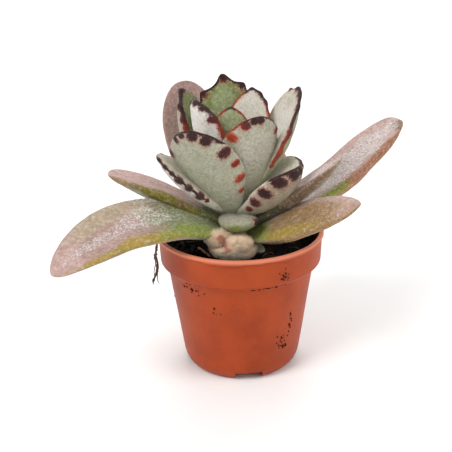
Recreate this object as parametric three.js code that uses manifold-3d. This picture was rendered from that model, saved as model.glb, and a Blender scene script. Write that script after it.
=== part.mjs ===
// A felt-leaved kalanchoe in a small nursery pot: pot, soil, rooted stem, and a leaf mesh for every leaf.
// Sizes are in millimetres and angles in degrees. +Z is up, -Y is the front, and the pot stands on z = 0.
import * as THREE from "three";
import { ParametricGeometry } from "three/addons/geometries/ParametricGeometry.js";
import { mergeVertices } from "three/addons/utils/BufferGeometryUtils.js";
import Module from "manifold-3d";

const wasm = await Module();
wasm.setup();

// ---- driving sizes ----
const pot = {
  rimRadius: 27.5,
  height: 46.6,
  lipHeight: 1.1, // the thicker edge at the very top
  lipWidth: 0.5, // how far it stands out from the band
  bandHeight: 9.6,
  bandTaper: 0.5,
  stepIn: 2.4, // from the band in to the body
  stepHeight: 1.8,
  bodyTaper: 4.5,
  heelHeight: 5.8, // where the wall turns in to the foot
  heelIn: 3.3,
  footWidth: 3.2,
  wall: 0.9,
  baseLift: 3.4, // underside of the base plate above the table
};
const notch = { count: 4, width: 9, height: 3.1, corner: 0.9, turn: -83 };
const drain = { diameter: 4.4, edge: 1.2 }; // one hole behind each notch, this far from the foot ring
const soil = { drop: 5.6, lump: 0.55 }; // surface below the rim, and how uneven it is
const stem = {
  soilRadius: 4.2, // where it leaves the soil
  crownRadius: 2.9, // where the rosette starts
  tipRadius: 1.3,
  crown: 17, // heights above the soil
  top: 31,
  lean: 0.085, // sideways drift for each millimetre of height
  depth: 24, // of the taproot
  tailRadius: 0.9,
};
const roots = { count: 5, radius: 0.8, reach: 13, drop: 15, start: 5, turn: 20 };
const gap = 0.3; // between pieces that touch

const colours = {
  pot: "#b04a2a",
  soil: "#1d1814",
  bark: "#8b7a5e",
  oldLeaf: "#a9a78f",
  youngLeaf: "#aab59a",
  wool: "#cdbb9d",
  root: "#5a4632",
  straw: "#b58f7c",
};

// ---- leaves, youngest last; heights are of the leaf's foot above the soil ----
// heading: 0 right, 90 back. rise and bend: slope at the foot and its change to the tip. roll: face turn.
const oldLeaf = { thick: 5.5, cup: 0.12, belly: 0.62, neck: 0.42, blunt: 0.46, colour: colours.oldLeaf };
const youngLeaf = { thick: 4.6, cup: 0.3, belly: 0.6, neck: 0.4, blunt: 0.5, colour: colours.youngLeaf };
const leaves = [
  { ...oldLeaf, name: "leaf_low_left", heading: 212, height: 3.7, rise: 35, bend: -67.5, sway: -1,
    roll: -13.5, length: 68, width: 23.5, thick: 5.7, cup: 0.21, belly: 0.54, neck: 0.58, blunt: 0.58 },
  { ...oldLeaf, name: "leaf_low_right", heading: 33, height: 4.6, rise: 4, bend: 42.5, sway: -10.5,
    roll: -3.5, length: 69.5, width: 21, thick: 6.4, cup: 0.25, belly: 0.7, blunt: 0.32 },
  { ...oldLeaf, name: "leaf_low_back", heading: 106, height: 7, rise: 14, bend: -12, sway: 0, roll: 0,
    length: 35.5, width: 18 },
  { ...oldLeaf, name: "leaf_front_right", heading: 324, height: 3.8, rise: 24, bend: 1, sway: 2, roll: 25,
    length: 47, width: 17.5, thick: 5.8, cup: 0.06, belly: 0.48, neck: 0.34, blunt: 0.7 },
  { ...oldLeaf, name: "leaf_side_left", heading: 178, height: 7, rise: 29.5, bend: -10, sway: 1, roll: 6,
    length: 44, width: 17, thick: 5.6, belly: 0.65, blunt: 0.26 },
  { ...oldLeaf, name: "leaf_side_right", heading: 352, height: 8, rise: 28, bend: 16, sway: 0, roll: -4,
    length: 39, width: 17, thick: 4.8 },
  { ...oldLeaf, name: "leaf_side_back", heading: 70, height: 9, rise: 16, bend: 8, sway: 0, roll: 0,
    length: 38, width: 17 },
  { ...oldLeaf, name: "leaf_back_left", heading: 127, height: 9, rise: 30, bend: 52, sway: 0, roll: -6,
    length: 51, width: 22.5 },
  { ...youngLeaf, name: "leaf_rosette_low_left", heading: 206, height: 13.2, rise: 35, bend: 10.5, sway: 6,
    roll: -24, length: 34, width: 13, thick: 5, cup: 0.13, blunt: 0.52 },
  { ...youngLeaf, name: "leaf_rosette_low_right", heading: 332, height: 13.3, rise: 25, bend: 28.5,
    sway: 11, roll: 5.5, length: 27, width: 19.5, thick: 7.2, cup: 0.5, belly: 0.68, neck: 0.48,
    blunt: 0.38 },
  { ...youngLeaf, name: "leaf_rosette_low_back", heading: 84, height: 13, rise: 38, bend: 20, sway: 0,
    roll: 0, length: 29, width: 16 },
  { ...youngLeaf, name: "leaf_rosette_front_left", heading: 228, height: 11.5, rise: 51.5, bend: 9.5,
    sway: 11.5, roll: 12, length: 40, width: 22.4, thick: 5.5, cup: 0.31, belly: 0.58, neck: 0.27,
    blunt: 0.61 },
  { ...youngLeaf, name: "leaf_rosette_front_right", heading: 295, height: 14, rise: 66, bend: 4, sway: 18,
    roll: -13, length: 35.5, width: 20 },
  { ...youngLeaf, name: "leaf_rosette_left", heading: 157, height: 17.8, rise: 46, bend: 36.5, sway: 2.5,
    roll: 0.5, length: 37.2, width: 17, thick: 6.6 },
  { ...youngLeaf, name: "leaf_rosette_right", heading: 3.5, height: 17.2, rise: 48, bend: 27.5, sway: -1,
    roll: 15, length: 39.5, width: 17.3, cup: 0.25, belly: 0.69, blunt: 0.48 },
  { ...youngLeaf, name: "leaf_rosette_back", heading: 102, height: 19, rise: 68, bend: 5, sway: 0,
    roll: -4, length: 36, width: 21, blunt: 0.75 },
  { ...youngLeaf, name: "leaf_inner_left", heading: 209, height: 23.2, rise: 57.5, bend: 18.5, sway: 0.5,
    roll: 7, length: 30, width: 13.5, thick: 5, cup: 0.37, belly: 0.68, blunt: 0.52 },
  { ...youngLeaf, name: "leaf_inner_right", heading: 46, height: 22, rise: 62, bend: 21, sway: 9.5,
    roll: 21, length: 30.5, width: 14.5, belly: 0.58, blunt: 0.67 },
  { ...youngLeaf, name: "leaf_heart", heading: 270, height: 27, rise: 70, bend: 15, sway: 0, roll: 0,
    length: 22, width: 12, thick: 3, blunt: 0.7 },
  { ...youngLeaf, name: "leaf_bud", heading: 85, height: 28, rise: 74, bend: 20, sway: 0, roll: 0,
    length: 16, width: 9.5, thick: 2.6, blunt: 0.7 },
];

// Short things at the foot of the stem, made by the same rule as the leaves.
const stub = { thick: 6.6, cup: 0, belly: 0.5, neck: 0.85, blunt: 0.5, bend: 0, sway: 0, roll: 0 };
const stubs = [
  { ...stub, name: "stub_base", heading: 257, height: 1.2, rise: 12, length: 17, width: 14.5, thick: 6,
    colour: colours.wool },
  { ...stub, name: "stub_left", heading: 240, height: 3.2, rise: 20, length: 18.5, width: 7,
    colour: colours.wool },
  { ...stub, name: "stub_right", heading: 268, height: 2.4, rise: 17, length: 17.5, width: 8.8,
    colour: colours.wool },
  { ...stub, name: "leaf_stub", heading: 272, height: 11, rise: 8, length: 14, width: 12.5, thick: 5.5,
    colour: colours.youngLeaf },
  { ...stub, name: "leaf_sprout", heading: 309, height: 1.6, rise: -3, length: 10, width: 5.4, thick: 3.4,
    colour: colours.oldLeaf },
];
const straw = { diameter: 0.9, from: [-13.6, -5.2], to: [-9.8, -11.8], rest: 1.1 }; // lies on the soil
const rimRoot = { radius: 0.5, heading: 163, swing: 15, hang: 19.5, stray: 2 }; // a dry root over the rim

const mesh = { around: 8, along: 11, turn: 48, round: 4, rings: 5 }; // facets

// ---- places worked out from the sizes ----
const soilTop = pot.height - soil.drop;
const bandTop = pot.rimRadius - pot.lipWidth;
const bandFoot = bandTop - pot.bandTaper;
const bandLow = pot.height - pot.bandHeight;
const bodyTop = bandFoot - pot.stepIn;
const bodyHigh = bandLow - pot.stepHeight;
const heelRadius = bodyTop - pot.bodyTaper;
const footRadius = heelRadius - pot.heelIn;
const footInner = footRadius - pot.footWidth;
const baseTop = pot.baseLift + pot.wall;

// ---- solids ----
function toSolid(geometry) {
  const bare = new THREE.BufferGeometry();
  bare.setAttribute("position", geometry.getAttribute("position"));
  bare.setIndex(geometry.index);
  const merged = mergeVertices(bare, 1e-4);
  const corners = merged.index.array;
  const faces = [];
  for (let i = 0; i < corners.length; i += 3) {
    const [a, b, c] = corners.slice(i, i + 3);
    if (a !== b && b !== c && c !== a) {
      faces.push(a, b, c);
    }
  }
  return new wasm.Manifold(
    new wasm.Mesh({
      numProp: 3,
      vertProperties: merged.getAttribute("position").array,
      triVerts: new Uint32Array(faces),
    }),
  );
}

function toGeometry(solid) {
  const { numProp, vertProperties, triVerts } = solid.getMesh();
  const points = new Float32Array((vertProperties.length / numProp) * 3);
  for (let i = 0; i * numProp < vertProperties.length; i += 1) {
    points.set(vertProperties.subarray(i * numProp, i * numProp + 3), i * 3);
  }
  const geometry = new THREE.BufferGeometry();
  geometry.setAttribute("position", new THREE.BufferAttribute(points, 3));
  geometry.setIndex(new THREE.BufferAttribute(triVerts, 1));
  geometry.computeVertexNormals();
  return geometry;
}

// The largest body of a cut solid, so that a cut never leaves loose crumbs.
function largest(solid) {
  return solid.decompose().sort((a, b) => b.volume() - a.volume())[0];
}

// ---- pot ----
function potProfile() {
  const heel = new THREE.QuadraticBezierCurve(
    new THREE.Vector2(footRadius, 0),
    new THREE.Vector2(heelRadius - pot.wall / 2, pot.heelHeight / 4),
    new THREE.Vector2(heelRadius, pot.heelHeight),
  );
  const outside = [
    new THREE.Vector2(0, pot.baseLift),
    new THREE.Vector2(footInner, pot.baseLift),
    new THREE.Vector2(footInner, 0),
    ...heel.getPoints(4),
    new THREE.Vector2(bodyTop, bodyHigh),
    new THREE.Vector2(bandFoot, bandLow),
    new THREE.Vector2(bandTop, pot.height - pot.lipHeight),
    new THREE.Vector2(pot.rimRadius, pot.height - pot.lipHeight),
    new THREE.Vector2(pot.rimRadius, pot.height),
  ];
  const inside = [
    new THREE.Vector2(bandTop - pot.wall, pot.height),
    new THREE.Vector2(bandFoot - pot.wall, bandLow),
    new THREE.Vector2(bodyTop - pot.wall, bodyHigh),
    new THREE.Vector2(heelRadius - pot.wall, pot.heelHeight),
    new THREE.Vector2(footRadius, baseTop),
    new THREE.Vector2(0, baseTop),
  ];
  return { outside, inside };
}

// Turns a profile about the pot's axis; the profile starts and ends on the axis.
function turned(points) {
  return new THREE.LatheGeometry(points, mesh.turn).rotateX(Math.PI / 2);
}

function notchCutter() {
  const { width, height, corner } = notch;
  const arch = new THREE.Shape();
  arch.moveTo(-width / 2, -height);
  arch.lineTo(width / 2, -height);
  arch.lineTo(width / 2, height - corner);
  arch.absarc(width / 2 - corner, height - corner, corner, 0, Math.PI / 2);
  arch.absarc(corner - width / 2, height - corner, corner, Math.PI / 2, Math.PI);
  arch.closePath();
  const reach = heelRadius - footInner + 2;
  return new THREE.ExtrudeGeometry(arch, { depth: reach, bevelEnabled: false, curveSegments: 2 })
    .rotateX(Math.PI / 2)
    .translate(0, 1 - footInner, 0);
}

function potSolid() {
  const { outside, inside } = potProfile();
  let solid = toSolid(turned([...outside, ...inside]));
  const holeAt = footInner - drain.edge - drain.diameter / 2;
  for (let i = 0; i < notch.count; i += 1) {
    const turn = THREE.MathUtils.degToRad(notch.turn + 90 + (360 / notch.count) * i);
    const hole = new THREE.CylinderGeometry(drain.diameter / 2, drain.diameter / 2, 3 * baseTop, 16)
      .rotateX(Math.PI / 2)
      .translate(0, -holeAt, 0);
    solid = solid.subtract(toSolid(notchCutter().rotateZ(turn)));
    solid = solid.subtract(toSolid(hole.rotateZ(turn)));
  }
  return solid;
}

// ---- leaves ----
// Mean of cos (or sin) of an angle that starts at `from` and changes by `change` over t, times t.
function runOf(wave, from, change, t) {
  const half = (change * t) / 2;
  const fade = Math.abs(half) < 1e-6 ? 1 : Math.sin(half) / half;
  return t * wave(from + half) * fade;
}

// The stem's centre line leans a little; height is above the soil.
function stemCentre(height) {
  return new THREE.Vector3(-stem.lean * Math.max(0, height), 0, soilTop + height);
}

function stemRadius(height) {
  if (height < stem.crown) {
    return THREE.MathUtils.mapLinear(height, 0, stem.crown, stem.soilRadius, stem.crownRadius);
  }
  return THREE.MathUtils.mapLinear(height, stem.crown, stem.top, stem.crownRadius, stem.tipRadius);
}

function leafHalfWidth(leaf, t) {
  if (t < leaf.belly) {
    const rise = Math.sin((Math.PI / 2) * (t / leaf.belly));
    return (leaf.width / 2) * (leaf.neck + (1 - leaf.neck) * rise);
  }
  const past = Math.min(1, (t - leaf.belly) / (1 - leaf.belly));
  return (leaf.width / 2) * (1 - past ** 2) ** leaf.blunt;
}

function leafHalfThickness(leaf, t) {
  const past = THREE.MathUtils.clamp((t - 0.55) / 0.45, 0, 1);
  return (leaf.thick / 2) * (0.75 + 0.25 * Math.sin(Math.PI * t)) * Math.sqrt(1 - past ** 2.2);
}

// Centre line, and the leaf's own directions there: along it, across it, and out of its upper face.
function leafFrame(leaf, t) {
  const heading = THREE.MathUtils.degToRad(leaf.heading);
  const rise = THREE.MathUtils.degToRad(leaf.rise);
  const sway = THREE.MathUtils.degToRad(leaf.sway);
  const bend = THREE.MathUtils.degToRad(leaf.bend);
  const roll = THREE.MathUtils.degToRad(leaf.roll);
  const sum = (wave) => runOf(wave, rise + heading, bend + sway, t);
  const difference = (wave) => runOf(wave, rise - heading, bend - sway, t);
  const foot = stemRadius(leaf.height) / 2;
  const centre = stemCentre(leaf.height).add(
    new THREE.Vector3(
      foot * Math.cos(heading) + (leaf.length / 2) * (sum(Math.cos) + difference(Math.cos)),
      foot * Math.sin(heading) + (leaf.length / 2) * (sum(Math.sin) - difference(Math.sin)),
      leaf.length * runOf(Math.sin, rise, bend, t),
    ),
  );
  const slope = rise + bend * t;
  const way = heading + sway * t;
  const along = new THREE.Vector3(
    Math.cos(slope) * Math.cos(way),
    Math.cos(slope) * Math.sin(way),
    Math.sin(slope),
  );
  const across = new THREE.Vector3(-Math.sin(way), Math.cos(way), 0).applyAxisAngle(along, roll);
  return { centre, along, across, out: along.clone().cross(across) };
}

// One point of the leaf's skin; turn runs once round the section, and grow makes the leaf fatter all over.
function leafPoint(leaf, t, turn, grow) {
  const { centre, along, across, out } = leafFrame(leaf, t);
  const full = leaf.width / 2;
  const side = Math.cos(turn) * leafHalfWidth(leaf, t);
  const face = Math.sin(turn) * leafHalfThickness(leaf, t) * (Math.sin(turn) > 0 ? 0.7 : 1.3);
  const lift = leaf.cup * (side / full) ** 2 * full * Math.min(1, 2.5 * t);
  return centre
    .addScaledVector(across, side + grow * Math.cos(turn))
    .addScaledVector(out, face + lift + grow * Math.sin(turn))
    .addScaledVector(along, grow * (2 * t - 1));
}

function leafSolid(leaf, grow = 0) {
  const { around, along } = mesh;
  const skin = (u, v, target) => {
    const step = Math.max(0, (v * (along + 1) - 1) / along);
    const t = 1 - (1 - step) ** 1.5;
    if (v < 0.5 / (along + 1) || v > 1 - 1e-9) {
      target.copy(leafFrame(leaf, t).centre);
      target.addScaledVector(leafFrame(leaf, t).along, grow * (2 * t - 1));
      return;
    }
    target.copy(leafPoint(leaf, t, 2 * Math.PI * u, grow));
  };
  return toSolid(new ParametricGeometry(skin, around, along + 1));
}

// ---- stem, roots and soil ----
function stemSolid(grow = 0) {
  const steps = 8;
  const profile = [new THREE.Vector2(0, -stem.depth - grow)];
  profile.push(new THREE.Vector2(stem.tailRadius + grow, -stem.depth - grow));
  for (let i = 0; i <= steps; i += 1) {
    const height = (stem.top / steps) * i;
    profile.push(new THREE.Vector2(stemRadius(height) + grow, height));
  }
  profile.push(new THREE.Vector2(0, stem.top + stem.tipRadius + grow));
  const geometry = new THREE.LatheGeometry(profile, 3 * mesh.round).rotateX(Math.PI / 2);
  const points = geometry.getAttribute("position");
  for (let i = 0; i < points.count; i += 1) {
    const centre = stemCentre(points.getZ(i));
    points.setXYZ(i, points.getX(i) + centre.x, points.getY(i), centre.z);
  }
  let solid = toSolid(geometry);
  for (let i = 0; i < roots.count; i += 1) {
    solid = solid.add(rootSolid(i, grow));
  }
  return solid;
}

// A tube along a smooth curve through the points.
function tubeSolid(points, radius, steps) {
  const section = new THREE.Shape();
  section.absarc(0, 0, radius, 0, 2 * Math.PI);
  const path = new THREE.CatmullRomCurve3(points);
  return toSolid(
    new THREE.ExtrudeGeometry(section, { extrudePath: path, steps, curveSegments: mesh.round }),
  );
}

function rootSolid(index, grow) {
  const way = THREE.MathUtils.degToRad(roots.turn + (360 / roots.count) * index);
  const at = (reach, depth) =>
    new THREE.Vector3(reach * Math.cos(way), reach * Math.sin(way), soilTop - depth);
  const bow = roots.drop / 4;
  return tubeSolid(
    [
      at(0, roots.start),
      at(roots.reach / 2, roots.start + roots.drop / 2 - bow),
      at(roots.reach + grow, roots.start + roots.drop + grow),
    ],
    roots.radius + grow,
    6,
  );
}

function soilHeight(x, y) {
  const waves = Math.sin(x * 0.61 + 1.3) * Math.cos(y * 0.53) + 0.6 * Math.sin(x * 1.27 - y * 0.94);
  return soilTop + (soil.lump * waves) / 1.6;
}

function soilSolid() {
  const { inside } = potProfile();
  const wallLine = inside.slice(1, -1).reverse();
  const profile = [new THREE.Vector2(0, baseTop + gap), new THREE.Vector2(footRadius - gap, baseTop + gap)];
  for (const point of wallLine.slice(1)) {
    profile.push(new THREE.Vector2(point.x - gap, point.y + gap / 2));
  }
  const share = (soilTop - bandLow) / pot.bandHeight;
  const edge = bandFoot + pot.bandTaper * share - pot.wall - gap;
  for (let i = mesh.rings; i >= 0; i -= 1) {
    profile.push(new THREE.Vector2((edge / mesh.rings) * i, soilTop));
  }
  const geometry = turned(profile);
  const points = geometry.getAttribute("position");
  for (let i = 0; i < points.count; i += 1) {
    if (points.getZ(i) > soilTop - 1e-3) {
      points.setZ(i, soilHeight(points.getX(i), points.getY(i)));
    }
  }
  return toSolid(geometry);
}

function strawSolid(grow = 0) {
  const high = soilTop + straw.rest;
  const ends = [straw.from, straw.to].map(([x, y]) => new THREE.Vector3(x, y, high));
  return tubeSolid(ends, straw.diameter / 2 + grow, 2);
}

// From the soil up over the rim, then down the outside of the band and the body.
function rimRootSolid() {
  const { radius, heading, swing, hang, stray } = rimRoot;
  const clear = radius + gap;
  const at = (reach, height, aside) => {
    const way = THREE.MathUtils.degToRad(heading + aside);
    return new THREE.Vector3(reach * Math.cos(way), reach * Math.sin(way), height);
  };
  const low = pot.height - hang;
  return tubeSolid(
    [
      at(bandFoot - pot.wall - clear - 1.6, soilTop + soil.lump + clear, -4),
      at(bandTop - pot.wall - clear - 0.4, pot.height, -2),
      at(bandTop, pot.height + clear + 0.5, 0),
      at(pot.rimRadius + clear + 0.2, pot.height - pot.lipHeight, 0),
      at(pot.rimRadius + clear, bandLow + 3, swing / 2),
      at(pot.rimRadius + clear, bandLow, swing),
      at(bandTop + clear, bandLow - 4, swing),
      at(pot.rimRadius + stray, low, swing),
    ],
    radius,
    18,
  );
}

// ---- the assembly ----
const group = new THREE.Group();

function addNode(name, solid, colour, roughness) {
  const material = new THREE.MeshStandardMaterial({ color: colour, roughness, metalness: 0 });
  const node = new THREE.Mesh(toGeometry(solid), material);
  node.name = name;
  group.add(node);
}

addNode("pot", potSolid(), colours.pot, 0.45);
addNode("stem", stemSolid(), colours.bark, 0.9);

// Each leaf is cut back where an older one, the stem or the straw already is, leaving the gap.
const grown = [];
const stemRoom = stemSolid(gap);
for (const leaf of [...stubs, ...leaves]) {
  let solid = leafSolid(leaf).subtract(stemRoom);
  for (const older of grown) {
    solid = solid.subtract(older);
  }
  addNode(leaf.name, largest(solid), leaf.colour, 0.85);
  grown.push(leafSolid(leaf, gap));
}

let bed = soilSolid().subtract(stemRoom);
for (const room of [...grown.slice(0, stubs.length), strawSolid(gap)]) {
  bed = bed.subtract(room);
}
addNode("soil", largest(bed), colours.soil, 0.95);
addNode("straw", strawSolid(), colours.straw, 0.8);
addNode("root_over_rim", rimRootSolid(), colours.root, 0.9);

export default group;
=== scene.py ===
import math
import random

import bpy
import bmesh
import numpy as np
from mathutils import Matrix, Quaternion, Vector


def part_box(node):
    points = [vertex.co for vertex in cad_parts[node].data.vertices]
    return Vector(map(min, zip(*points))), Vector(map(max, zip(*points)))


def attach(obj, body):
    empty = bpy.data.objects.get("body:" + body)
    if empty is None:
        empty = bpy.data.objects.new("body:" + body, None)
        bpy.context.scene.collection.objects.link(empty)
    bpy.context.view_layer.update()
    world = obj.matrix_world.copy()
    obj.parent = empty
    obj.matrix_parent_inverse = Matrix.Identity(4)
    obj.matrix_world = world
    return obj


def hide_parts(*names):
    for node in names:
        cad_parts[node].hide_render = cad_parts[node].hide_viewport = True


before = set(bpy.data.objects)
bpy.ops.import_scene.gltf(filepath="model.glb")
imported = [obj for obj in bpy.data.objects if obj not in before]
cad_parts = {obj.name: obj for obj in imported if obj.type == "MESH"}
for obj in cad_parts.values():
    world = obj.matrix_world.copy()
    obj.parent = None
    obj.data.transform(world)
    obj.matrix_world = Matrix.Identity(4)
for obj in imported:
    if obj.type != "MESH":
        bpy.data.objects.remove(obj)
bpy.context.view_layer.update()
mm = 0.001
rimRadius, _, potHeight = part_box("pot")[1]  # the far corner of the pot's box
soilTop = potHeight - 5.6 * mm  # the soil lies this far under the rim


# Camera, floor and lamps
view = {
    "place": (0.0, -0.3175, 0.1724),
    "aim": (-0.0046, 0.0, 0.0476),
    "roll": -1.15,
    "lens": 82.67,
    "floor": (0.93, 0.93, 0.925),
    "air": 0.6,
    "lamps": [  # place, size, watts
        ((-0.55, -0.55, 0.85), 0.55, 7.4),
        ((0.75, -0.35, 0.5), 0.7, 2.6),
        ((0.05, 0.7, 0.75), 0.8, 4.4),
    ],
}


def setStage():
    scene = bpy.context.scene
    scene.view_settings.view_transform = "Standard"
    camera = bpy.data.objects.new("camera", bpy.data.cameras.new("camera"))
    scene.collection.objects.link(camera)
    camera.data.sensor_width = 36
    camera.data.lens = view["lens"]
    camera.data.clip_start = 0.01
    camera.location = view["place"]
    look = Vector(view["aim"]) - Vector(view["place"])
    turn = look.to_track_quat("-Z", "Y") @ Quaternion((0, 0, 1), math.radians(view["roll"]))
    camera.rotation_euler = turn.to_euler()
    scene.camera = camera

    floorMesh = bpy.data.meshes.new("floor")
    half = 3.0
    corners = [(-half, -half, 0), (half, -half, 0), (half, half, 0), (-half, half, 0)]
    floorMesh.from_pydata(corners, [], [(0, 1, 2, 3)])
    floor = bpy.data.objects.new("floor", floorMesh)
    scene.collection.objects.link(floor)
    paper = Recipe("paleFloor")
    paper.set("Base Color", view["floor"])
    paper.set("Roughness", 0.9)
    paper.set("Specular IOR Level", 0.1)
    floorMesh.materials.append(paper.material)

    world = bpy.data.worlds.new("studio")
    scene.world = world
    world.use_nodes = True
    world.node_tree.nodes["Background"].inputs[0].default_value = (1.0, 0.995, 0.985, 1)
    world.node_tree.nodes["Background"].inputs[1].default_value = view["air"]
    for index, (place, size, watts) in enumerate(view["lamps"]):
        lamp = bpy.data.lights.new("lamp%d" % index, "AREA")
        lamp.shape = "DISK"
        lamp.size = size
        lamp.energy = watts
        holder = bpy.data.objects.new("lamp%d" % index, lamp)
        scene.collection.objects.link(holder)
        holder.location = place
        aim = Vector((0, 0, 0.05)) - Vector(place)
        holder.rotation_euler = aim.to_track_quat("-Z", "Y").to_euler()
    print("stage: camera, floor and", len(view["lamps"]), "lamps")


# Shader maths: a wire is one socket, and an expression on wires adds its nodes
class Wire:
    def __init__(self, recipe, socket):
        self.recipe = recipe
        self.socket = socket

    def sum(self, operation, *others):
        values = dict(enumerate((self, *others)))
        return self.recipe.make("ShaderNodeMath", {"operation": operation}, values)

    def __add__(self, other):
        return self.sum("ADD", other)

    __radd__ = __add__

    def __mul__(self, other):
        return self.sum("MULTIPLY", other)

    __rmul__ = __mul__

    def __sub__(self, other):
        return self.sum("SUBTRACT", other)

    def __rsub__(self, other):
        return self.recipe.make("ShaderNodeMath", {"operation": "SUBTRACT"}, {0: other, 1: self})

    def between(self, low, high):  # 0 under low, 1 over high, smooth in between
        settings = {"interpolation_type": "SMOOTHSTEP"}
        return self.recipe.make("ShaderNodeMapRange", settings, {0: self, 1: low, 2: high})


class Recipe:
    def __init__(self, name):
        self.material = bpy.data.materials.new(name)
        self.material.use_nodes = True
        self.tree = self.material.node_tree
        self.skin = self.tree.nodes["Principled BSDF"]

    def fill(self, socket, value):
        if isinstance(value, Wire):
            self.tree.links.new(value.socket, socket)
        elif isinstance(value, (tuple, list)) and len(value) == 3 and socket.type == "RGBA":
            socket.default_value = (*value, 1)
        else:
            socket.default_value = value

    def make(self, kind, settings=None, values=None, out=0):
        node = self.tree.nodes.new(kind)
        for key, value in (settings or {}).items():
            if key == "stops":
                self.setStops(node.color_ramp, value)
            else:
                setattr(node, key, value)
        for key, value in (values or {}).items():
            self.fill(node.inputs[key], value)
        return Wire(self, node.outputs[out])

    def setStops(self, ramp, stops):
        while len(ramp.elements) < len(stops):
            ramp.elements.new(1.0)
        for element, (place, colour) in zip(ramp.elements, stops):
            element.position = place
            element.color = (*colour, 1)

    def set(self, name, value):
        self.fill(self.skin.inputs[name], value)

    def place(self):
        return self.make("ShaderNodeTexCoord", out="Object")

    def stored(self, name, colour=False):
        settings = {"attribute_name": name, "attribute_type": "GEOMETRY"}
        return self.make("ShaderNodeAttribute", settings, out="Color" if colour else "Fac")

    def grain(self, size, detail=2.0, rough=0.5, at=None):  # noise whose lumps are about size across
        values = {"Vector": at or self.place(), "Scale": 1.0 / size, "Detail": detail, "Roughness": rough}
        return self.make("ShaderNodeTexNoise", {}, values, out="Fac")

    def cells(self, size):  # distance to the nearest of points about size apart
        values = {"Vector": self.place(), "Scale": 1.0 / size}
        return self.make("ShaderNodeTexVoronoi", {}, values, out="Distance")

    def mix(self, amount, first, second, style="MIX"):
        settings = {"data_type": "RGBA", "blend_type": style}
        return self.make("ShaderNodeMix", settings, {0: amount, 6: first, 7: second}, out=2)

    def bump(self, height, strength, distance):
        values = {"Height": height, "Strength": strength, "Distance": distance}
        return self.make("ShaderNodeBump", {}, values)


def tone(text):  # a web colour as the linear values that shaders take
    parts = [int(text[i : i + 2], 16) / 255 for i in (1, 3, 5)]
    return tuple(p / 12.92 if p <= 0.04045 else ((p + 0.055) / 1.055) ** 2.4 for p in parts)


# Tones of the plant, as they look in soft white light
tones = {name: tone(text) for name, text in {
    "felt": "#a3a28c",
    "feltLow": "#90937a",
    "cream": "#cfc7b5",
    "white": "#dedbd6",
    "green": "#6c793a",
    "paleGreen": "#949d74",
    "moss": "#5d642a",
    "darkGreen": "#3d4222",
    "lime": "#7d8a26",
    "olive": "#766b08",
    "yellow": "#9d8226",
    "mauve": "#a3837b",
    "pink": "#bb9a93",
    "tan": "#a6937b",
    "sand": "#917040",
    "rust": "#9a6241",
    "brown": "#76583a",
    "grey": "#968f7b",
    "ash": "#bcb1aa",
    "wool": "#e2cdb2",
    "scar": "#c27460",
}.items()}

# The stem leans a little, and every leaf starts on it; heights are above the soil, in millimetres
stem = {"soilRadius": 4.2, "crownRadius": 2.9, "tipRadius": 1.3, "crown": 17, "top": 31, "lean": 0.085,
        "depth": 24, "tailRadius": 0.9, "roots": 5, "rootRadius": 0.8, "rootReach": 13, "rootDrop": 15,
        "rootStart": 5, "rootTurn": 20}


def stemRadius(height):
    heights = (0, stem["crown"], stem["top"])
    return np.interp(height, heights, (stem["soilRadius"], stem["crownRadius"], stem["tipRadius"]))


def mottle(points, size, seed):  # smooth random value from -1 to 1, with lumps about size across
    draw = np.random.default_rng(seed)
    total = np.zeros(points.shape[:-1])
    for _ in range(9):
        way = draw.normal(size=3)
        way *= draw.uniform(0.6, 1.5) * math.pi / size / np.linalg.norm(way)
        total += np.sin(points @ way + draw.uniform(0, 2 * math.pi))
    return np.clip(total / 4.5, -1, 1)


def smooth(low, high, value):
    share = np.clip((value - low) / (high - low), 0, 1)
    return share * share * (3 - 2 * share)


def runOf(wave, start, change, t):  # the wave of an angle that starts at start, added up to t
    half = change * t / 2
    return t * wave(start + half) * np.sinc(half / math.pi)


def leafHalfWidth(leaf, t):
    low = leaf["neck"] + (1 - leaf["neck"]) * np.sin(math.pi / 2 * np.clip(t / leaf["belly"], 0, 1))
    past = np.clip((t - leaf["belly"]) / (1 - leaf["belly"]), 0, 1)
    return leaf["width"] / 2 * np.where(t < leaf["belly"], low, (1 - past**2) ** leaf["blunt"])


def leafHalfThickness(leaf, t):
    past = np.clip((t - 0.55) / 0.45, 0, 1)
    return leaf["thick"] / 2 * (0.75 + 0.25 * np.sin(math.pi * t)) * np.sqrt(1 - past**2.2)


def leafLine(leaf, t):  # centre line, and the directions along, across and out of the upper face
    angles = (math.radians(leaf[key]) for key in ("heading", "rise", "bend", "sway", "roll"))
    heading, rise, bend, sway, roll = angles
    total = [runOf(wave, rise + heading, bend + sway, t) for wave in (np.cos, np.sin)]
    apart = [runOf(wave, rise - heading, bend - sway, t) for wave in (np.cos, np.sin)]
    height = leaf["height"]
    foot = stemRadius(height) / 2
    centre = np.stack([
        foot * math.cos(heading) - stem["lean"] * height + leaf["length"] / 2 * (total[0] + apart[0]),
        foot * math.sin(heading) + leaf["length"] / 2 * (total[1] - apart[1]),
        soilTop / mm + height + leaf["length"] * runOf(np.sin, rise, bend, t),
    ], axis=-1)
    slope = rise + bend * t
    way = heading + sway * t
    flat = np.cos(slope)
    along = np.stack([flat * np.cos(way), flat * np.sin(way), np.sin(slope)], axis=-1)
    level = np.stack([-np.sin(way), np.cos(way), 0 * way], axis=-1)
    across = level * math.cos(roll) + np.cross(along, level) * math.sin(roll)
    return centre, along, across, np.cross(along, across)


def leafEdge(leaf):  # the edge from the tip to the foot: place in the leaf's own plan, and run from the tip
    t = 1 - np.linspace(0, 1, 320) ** 2
    plan = np.stack([t * leaf["length"], leafHalfWidth(leaf, t)], axis=-1)
    run = np.concatenate([[0], np.cumsum(np.linalg.norm(np.diff(plan, axis=0), axis=1))])
    return plan, run


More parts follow.
